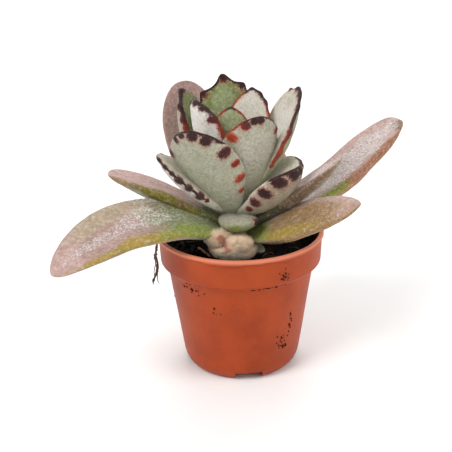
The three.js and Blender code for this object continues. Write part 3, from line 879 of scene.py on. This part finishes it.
def chunkForms(seed, count=6):  # a few knobbly grains, each as points and faces
    forms = []
    for index in range(count):
        form = bmesh.new()
        bmesh.ops.create_icosphere(form, subdivisions=2, radius=1)
        points = np.array([vert.co for vert in form.verts])
        faces = [[vert.index for vert in face.verts] for face in form.faces]
        form.free()
        knobs = 0.45 * mottle(points, 1.1, seed + index) + 0.15 * mottle(points, 0.4, seed + 50)
        points *= 1 + knobs[:, None]
        forms.append((points, faces))
    return forms


def scatter(forms, places, sizes, seed, squash=0.7):  # grains at the places, turned and flattened at random
    draw = random.Random(seed)
    points, faces, used = [], [], 0
    for place, size in zip(places, sizes):
        shape, shapeFaces = draw.choice(forms)
        spin = Quaternion([draw.uniform(-1, 1) for _ in range(4)])
        turn = np.array(spin.normalized().to_matrix())
        scale = np.array([1, draw.uniform(squash, 1), draw.uniform(0.5 * squash, squash)]) * size
        points.append((shape * scale) @ turn.T + place)
        faces += [[used + corner for corner in face] for face in shapeFaces]
        used += len(shape)
    return np.vstack(points), faces


def smoothLine(knots, steps):  # a smooth curve through the knots
    knots = np.asarray(knots, float)
    padded = np.vstack([2 * knots[0] - knots[1], knots, 2 * knots[-1] - knots[-2]])
    line = []
    for i in range(1, len(padded) - 2):
        a, b, c, d = padded[i - 1 : i + 3]
        for s in np.linspace(0, 1, steps, endpoint=False):
            line.append(0.5 * (2 * b + (c - a) * s + (2 * a - 5 * b + 4 * c - d) * s**2
                               + (3 * b - a - 3 * c + d) * s**3))
    return np.array([*line, knots[-1]])


def tube(line, radii, around):  # points and faces of a tube along the line
    way = np.gradient(line, axis=0)
    way /= np.linalg.norm(way, axis=1)[:, None]
    side = np.cross(way[0], (0.31, 0.17, 0.93))
    points = []
    for at, direction, radius in zip(line, way, np.broadcast_to(radii, len(line))):
        side = side - direction * (side @ direction)
        side /= np.linalg.norm(side)
        other = np.cross(direction, side)
        angles = np.linspace(0, 2 * math.pi, around, endpoint=False)[:, None]
        points.append(at + radius * (np.cos(angles) * side + np.sin(angles) * other))
    points = np.vstack([*points, line[:1], line[-1:]])
    return points, tubeFaces(len(line), around)


def joined(parts):  # several (points, faces) as one
    points, faces, used = [], [], 0
    for partPoints, partFaces in parts:
        points.append(partPoints)
        faces += [[used + corner for corner in face] for face in partFaces]
        used += len(partPoints)
    return np.vstack(points), faces


def fillSoil(material):
    gap, wall = soil["gap"], pot["wall"]
    edge = bandFoot + pot["bandTaper"] * (soilTop / mm - bandLow) / pot["bandHeight"] - wall - gap
    rings = [(edge * share, soilTop / mm) for share in np.linspace(1, 0, 56)]
    line = np.array([
        (0, baseTop + gap), (footRadius - gap, baseTop + gap), (heelRadius - wall - gap, pot["heelHeight"]),
        (bodyTop - wall - gap, bodyHigh + gap), (bandFoot - wall - gap, bandLow + gap), *rings,
    ])
    points, faces = turned(line, 200)
    top = points[:, 2] > soilTop / mm - 0.001
    lumps = 0.45 * mottle(points, 3.2, 21) + 0.25 * mottle(points, 1.3, 22) + 0.12 * mottle(points, 0.6, 23)
    inner = smooth(edge, edge - 1.5, np.hypot(points[:, 0], points[:, 1]))
    points[top, 2] = soilHeight(points[top, 0], points[top, 1]) + (lumps * inner)[top]
    addPiece("soil_bed", points * mm, faces, material, {}, "soil", ("soil",))

    draw = np.random.default_rng(24)
    reach = edge * np.sqrt(draw.uniform(0.02, 0.97, soil["crumbs"]))
    turn = draw.uniform(0, 2 * math.pi, soil["crumbs"])
    sizes = 0.16 + 0.75 * draw.random(soil["crumbs"]) ** 3.2
    x, y = reach * np.cos(turn), reach * np.sin(turn)
    places = np.stack([x, y, soilHeight(x, y) + 0.35 * sizes], axis=-1)
    addPiece("soil_crumbs", *scaled(scatter(chunkForms(25), places, sizes, 26)), material, {}, "soil")

    strands = []
    for _ in range(soil["fibres"]):
        reach, turn = (edge - 2) * math.sqrt(draw.random()), draw.uniform(0, 2 * math.pi)
        way, length = draw.uniform(0, 2 * math.pi), draw.uniform(2, 6)
        start = np.array([reach * math.cos(turn), reach * math.sin(turn)])
        knots = []
        for step in np.linspace(0, 1, 4):
            spot = start + length * step * np.array([math.cos(way + step), math.sin(way + step)])
            spot *= min(1, (edge - 0.6) / np.hypot(*spot))
            knots.append((*spot, soilHeight(*spot) + 0.35 + 0.6 * math.sin(math.pi * step) * draw.random()))
        strands.append(tube(smoothLine(knots, 6), draw.uniform(0.06, 0.14), 6))
    fibre = plainMaterial("dryFibre", ("#5a4230", "#8a6c4e"), 0.0011, 0.85)
    addPiece("soil_fibres", *scaled(joined(strands)), fibre, {}, "soil")
    print("soil:", soil["crumbs"], "crumbs and", soil["fibres"], "fibres")


def scaled(made):  # points and faces from millimetres to metres
    return made[0] * mm, made[1]


def plainMaterial(name, shades, size, roughness, relief=0.0002):
    stuff = Recipe(name)
    grain = stuff.grain(size, 4, 0.7)
    fleck = stuff.grain(size / 5, 3, 0.7)
    colour = stuff.mix(grain.between(0.35, 0.65), tone(shades[0]), tone(shades[1]))
    stuff.set("Base Color", stuff.mix(fleck.between(0.5, 0.75) * 0.35, colour, tone(shades[-1])))
    stuff.set("Roughness", roughness)
    stuff.set("Specular IOR Level", 0.25)
    stuff.set("Normal", stuff.bump(grain + fleck * 0.5, 0.6, relief))
    return stuff.material


def growStem(material):
    depth = stem["depth"]
    heights = np.concatenate([np.linspace(-depth, 0, 30, endpoint=False), np.linspace(0, stem["top"], 70)])
    taproot = np.interp(heights, (-depth, 0), (stem["tailRadius"], stem["soilRadius"]))
    radii = np.where(heights < 0, taproot, stemRadius(heights))
    line = np.stack([radii, heights], axis=-1)
    line = np.vstack([[(0, -depth)], line, [(0, stem["top"] + stem["tipRadius"])]])
    points, faces = turned(line, 56)
    scars = 0.22 * np.sin(points[:, 2] * 2.1 + 2 * np.arctan2(points[:, 1], points[:, 0]))
    radius = np.hypot(points[:, 0], points[:, 1])
    swell = (scars + 0.3 * mottle(points, 2, 31)) * smooth(0, 1, radius) / np.maximum(radius, 1)
    points[:, :2] *= 1 + swell[:, None]
    points[:, 0] -= stem["lean"] * np.maximum(points[:, 2], 0)
    points[:, 2] += soilTop / mm
    parts = [(points, faces)]
    for index in range(stem["roots"]):
        way = math.radians(stem["rootTurn"] + 360 / stem["roots"] * index)
        knots = [
            (stem["rootReach"] * reach * math.cos(way), stem["rootReach"] * reach * math.sin(way),
             soilTop / mm - stem["rootStart"] - stem["rootDrop"] * drop)
            for reach, drop in ((0, 0), (0.5, 0.25), (1, 1))
        ]
        curve = smoothLine(knots, 14)
        parts.append(tube(curve, np.linspace(1.1, 0.45, len(curve)) * stem["rootRadius"], 10))
    addPiece("stem_bark", *scaled(joined(parts)), material, {}, "bark", ("stem",))
    print("stem and", stem["roots"], "roots")


# Two felted shoots at the foot of the stem on one broad base, with a small scar between them
stubs = {
    "stub_base": {
        "heading": 257, "height": 1.2, "rise": 12, "length": 17, "width": 14.5, "thick": 6,
        "washes": (("felt", (0.8, 270), (0.6, 80), 0.8), ("scar", (0.97, 80), (0.1, 30), 0.8)),
    },
    "stub_left": {
        "heading": 240, "height": 3.2, "rise": 20, "length": 18.5, "width": 7,
        "washes": (("scar", (0.82, 0), (0.1, 30), 0.9), ("feltLow", (0.75, 255), (0.4, 36), 0.5)),
    },
    "stub_right": {
        "heading": 268, "height": 2.4, "rise": 17, "length": 17.5, "width": 8.8,
        "washes": (("scar", (0.82, 180), (0.1, 30), 0.9), ("feltLow", (0.75, 290), (0.4, 36), 0.5)),
    },
}
stubShape = {**shortLeaf, "thick": 6.6, "face": "wool", "back": "wool", "groove": 0, "uneven": 0.45,
             "along": 72, "around": 80}
stubHair = {"count": 8000, "length": 1.1, "width": 0.09}


def woolMaterial():
    wool = Recipe("shootWool")
    tint = wool.stored("tint", colour=True)
    fine = wool.grain(0.0003, 3, 0.7)
    soft = wool.grain(0.0016, 3, 0.6)
    colour = wool.mix(soft.between(0.45, 0.7) * 0.35, tint, tone("#a88a6c"))
    colour = wool.mix(fine.between(0.5, 0.7) * 0.4, colour, tone("#f0e4d4"))
    wool.set("Base Color", colour)
    wool.set("Roughness", 0.9)
    wool.set("Sheen Weight", 0.5)
    wool.set("Normal", wool.bump(fine, 0.6, 0.00025))
    return wool.material


def growStubs(material):
    for seed, (name, shape) in enumerate(stubs.items()):
        shoot = {**stubShape, **shape}
        skin = leafSkin(shoot, 300 + seed)
        paint = leafPaint(shoot, skin, 300 + seed)["tint"].reshape(-1, 3)
        rings, around = skin["t"].shape
        solid = skin["points"].reshape(-1, 3)
        points = np.vstack([solid, *(end[None] for end in skin["ends"])])
        tint = np.vstack([paint, paint[:1], paint[-1:]])
        faces = tubeFaces(rings, around)
        middle = solid.reshape(rings, around, 3).mean(axis=1, keepdims=True)
        outward = (solid.reshape(rings, around, 3) - middle).reshape(-1, 3)
        outward[-around * 6:] = solid[-around * 6:] - middle[-14, 0]
        outward /= np.linalg.norm(outward, axis=1)[:, None]
        draw = np.random.default_rng(310 + seed)
        chosen = draw.integers(around * 8, len(solid), stubHair["count"])
        hairPoints, hairFaces, hairTint = [], [], []
        for number, index in enumerate(chosen):
            way = outward[index] + draw.normal(size=3) * 0.55
            way /= np.linalg.norm(way)
            flat = np.cross(way, draw.normal(size=3))
            flat *= stubHair["width"] / 2 / np.linalg.norm(flat)
            root = solid[index] + draw.normal(size=3) * 0.06
            reach = stubHair["length"] * draw.uniform(0.4, 1)
            start = len(points) + 3 * number
            hairPoints += [root - flat, root + flat, root + way * reach]
            hairFaces.append((start, start + 1, start + 2))
            hairTint += [np.minimum(tint[index] * 1.25, 1)] * 3
        values = {"tint": np.vstack([tint, hairTint])}
        made = np.vstack([points, hairPoints]) * mm
        addPiece(name + "_wool", made, faces + hairFaces, material, values, "wool", (name,))
    print("stubs:", len(stubs))


straw = {"from": (-13.6, -5.2), "to": (-9.8, -11.8), "diameter": 0.9, "rest": 1.1}


def layStraw():
    ends = [np.array([*straw[key], soilTop / mm + straw["rest"]]) for key in ("from", "to")]
    along = np.linspace(0, 1, 30)[:, None]
    line = ends[0] * (1 - along) + ends[1] * along
    line[:, 2] += 0.12 * np.sin(along[:, 0] * 5)
    radii = straw["diameter"] / 2 * (0.85 + 0.18 * np.sin(along[:, 0] * 17) * (1 - along[:, 0]))
    points, faces = tube(line, radii, 14)
    material = plainMaterial("paleStraw", ("#a5786a", "#cfa791"), 0.0008, 0.75)
    addPiece("straw_bit", points * mm, faces, material, {}, "straw", ("straw",))


rimRoot = {"radius": 0.5, "heading": 163, "swing": 15, "hang": 19.5, "stray": 2}


def hangRoot():  # a dry root from the soil over the rim, with its side roots and bits of peat stuck to it
    high, clear = potHeight / mm, rimRoot["radius"] + soil["gap"]

    def at(reach, height, aside):
        way = math.radians(rimRoot["heading"] + aside)
        return (reach * math.cos(way), reach * math.sin(way), height)

    low, swing, loose = high - rimRoot["hang"], rimRoot["swing"], rim + rimRoot["stray"]
    main = smoothLine([
        at(bandFoot - pot["wall"] - clear - 1.6, soilTop / mm + soil["lump"] + clear, -4),
        at(bandTop - pot["wall"] - clear - 0.4, high, -2), at(bandTop, high + clear + 0.4, 0),
        at(rim + clear + 0.2, high - pot["lipHeight"], 0), at(rim + clear, bandLow + 3, swing / 2),
        at(rim + clear, bandLow, swing), at(bandTop + clear, bandLow - 4, swing), at(loose, low, swing),
    ], 16)
    knots = np.abs(np.sin(np.linspace(0, 23, len(main)))) ** 6
    taper = np.interp(np.linspace(0, 1, len(main)), (0, 0.5, 0.85, 1), (0.5, 0.6, 0.8, 0.4))
    parts = [tube(main, rimRoot["radius"] * taper * (1 + 0.35 * knots), 12)]
    branches = (
        (at(rim + clear, bandLow - 0.5, swing), at(rim + 0.9, bandLow - 2.5, swing + 2),
         at(rim - 0.1, bandLow - 5, swing + 5)),
        (at(bandTop + clear, bandLow - 3, swing), at(rim + 1.3, bandLow - 4.2, swing + 1),
         at(rim + 1.7, low + 2, swing)),
        (at(bandTop + clear, bandLow - 4, swing), at(rim + 0.4, low + 2, swing + 3),
         at(rim - 0.2, low + 0.4, swing + 4)),
        (at(rim + 1.2, low + 2.2, swing), at(loose, low + 1.6, swing + 4),
         at(loose - 0.4, low + 0.6, swing + 6)),
    )
    for branch in branches:
        curve = smoothLine(branch, 9)
        parts.append(tube(curve, np.linspace(0.24, 0.09, len(curve)), 8))
    draw = np.random.default_rng(41)
    stuck = main[draw.integers(int(len(main) * 0.55), len(main), 46)] + draw.normal(size=(46, 3)) * 0.28
    parts.append(scatter(chunkForms(42), stuck, draw.uniform(0.12, 0.5, 46), 43))
    material = plainMaterial("dryRoot", ("#4b3527", "#7d6049"), 0.0009, 0.9, 0.0003)
    addPiece("root_strand", *scaled(joined(parts)), material, {}, "dry_root", ("root_over_rim",))
    print("root over the rim:", len(branches), "side roots")


# Peat stuck to the pot: turn round the pot, height, size of the patch and number of grains
dirt = {
    "patches": (
        (-59, 39.6, (1.6, 2.2), 26), (-68, 35.6, (6.5, 0.5), 30), (-80, 35.4, (5, 0.35), 16),
        (-52, 13.5, (1.6, 2.0), 20), (-49, 11.2, (2.4, 1.2), 12), (-44, 20, (0.8, 5.5), 26),
        (-128, 33.2, (6, 2.6), 18), (-112, 27, (1.6, 1.4), 6), (60, 20, (14, 9), 20), (160, 26, (12, 8), 20),
    ),
    "size": (0.12, 0.42),
}


def wallRadius(height):  # outside of the pot at a height above the table
    heights = (0, pot["heelHeight"], bodyHigh, bandLow, bandLow + 0.01, potHeight / mm)
    return np.interp(height, heights, (footRadius, heelRadius, bodyTop, bodyTop + 2, bandFoot, bandTop))


def stickDirt(material):
    draw = np.random.default_rng(51)
    places, sizes = [], []
    for turn, height, spread, count in dirt["patches"]:
        for _ in range(count):
            z = height + draw.normal() * spread[1] / 2
            radius = wallRadius(z)
            way = math.radians(turn) + draw.normal() * spread[0] / 2 / radius
            places.append((radius * math.cos(way), radius * math.sin(way), z))
            sizes.append(draw.uniform(*dirt["size"]))
    made = scatter(chunkForms(52), np.array(places), sizes, 53, 0.6)
    addPiece("pot_dirt", *scaled(made), material, {}, "soil")
    print("dirt:", len(places), "grains")


# Raised dribbles and blisters on the pot's wall: each a path of (turn, height), with its half width
marks = {
    "paths": (
        (((-90.5, 20.6), (-88.2, 17.6), (-84.6, 19.2), (-81.8, 20.8)), 0.34),
        (((-101.5, 18.4), (-97.4, 20.2), (-94.4, 21.0)), 0.22),
        (((-94, 38.9), (-90.6, 38.0), (-86.5, 38.2)), 0.24),
        (((-71, 26.4), (-66.8, 27.4), (-62.6, 28.5)), 0.2),
    ),
    "blisters": (
        (-109, 18.5, 0.42), (-113, 15.2, 0.45), (-89.5, 12.2, 0.5), (-80.6, 12.0, 0.45), (-96, 25, 0.3),
    ),
}


def raiseMarks(material):
    parts = []
    for path, width in marks["paths"]:
        knots = []
        for turn, height in path:
            radius, way = wallRadius(height) - 0.12, math.radians(turn)
            knots.append((radius * math.cos(way), radius * math.sin(way), height))
        curve = smoothLine(knots, 14)
        swell = np.sin(np.linspace(0.1, math.pi - 0.1, len(curve))) ** 0.6
        parts.append(tube(curve, width * swell, 12))
    for turn, height, size in marks["blisters"]:
        form = bmesh.new()
        bmesh.ops.create_icosphere(form, subdivisions=3, radius=size)
        way = np.array([math.cos(math.radians(turn)), math.sin(math.radians(turn)), 0])
        points = np.array([vert.co for vert in form.verts])
        points -= np.outer(points @ way, way) * 0.6
        points = points + way * wallRadius(height) + np.array([0, 0, height])
        parts.append((points, [[vert.index for vert in face.verts] for face in form.faces]))
        form.free()
    addPiece("pot_dribbles", *scaled(joined(parts)), material, {}, "pot")


setStage()
terracotta = potMaterial()
mouldPot(terracotta)
raiseMarks(terracotta)
peat = soilMaterial()
fillSoil(peat)
stickDirt(peat)
growStem(plainMaterial("feltedBark", ("#7d7458", "#a89c7c"), 0.0016, 0.9))
oldFelt = feltMaterial("oldFelt", 0.0004, 0.08)
youngFelt = feltMaterial("youngFelt", 0.0003, 0.12)
for seed, (name, leaf) in enumerate(leaves.items()):
    young = "rosette" in name or "inner" in name or name in ("leaf_heart", "leaf_bud", "leaf_stub")
    felt, slotName = (youngFelt, "young_leaf") if young else (oldFelt, "old_leaf")
    growLeaf(name + "_skin", leaf, 10 * seed + 3, felt, slotName)
print("leaves:", len(leaves))
growStubs(woolMaterial())
layStraw()
hangRoot()
